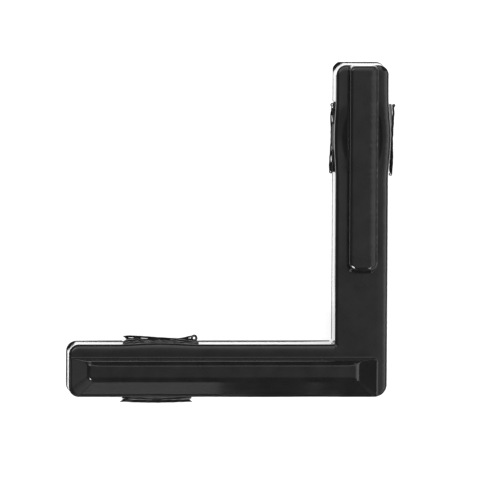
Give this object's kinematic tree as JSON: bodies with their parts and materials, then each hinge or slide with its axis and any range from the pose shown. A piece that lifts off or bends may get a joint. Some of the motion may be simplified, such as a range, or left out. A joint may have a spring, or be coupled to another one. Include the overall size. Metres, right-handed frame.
{
  "type": "inner corner connector",
  "caption": "L-shaped moulded corner connector with slim legs, a raised bar and a hipped ridge on its face, and side grip pads that wedge it in hollow frame profile.",
  "frame": {"origin": "where the centre lines of the legs cross, on the flat back face", "axes": "+Z out of the face that carries the bar and the ridge, -X along the ridged leg, +Y along the barred leg"},
  "size_m": [0.024, 0.025, 0.0046],
  "materials": {
    "black_plastic": "near-black injection-moulded plastic, semi-gloss, with gentle sink marks and fine edge wear"
  },
  "bodies": {
    "root": {"corner_connector": "black_plastic"}
  },
  "joints": []
}
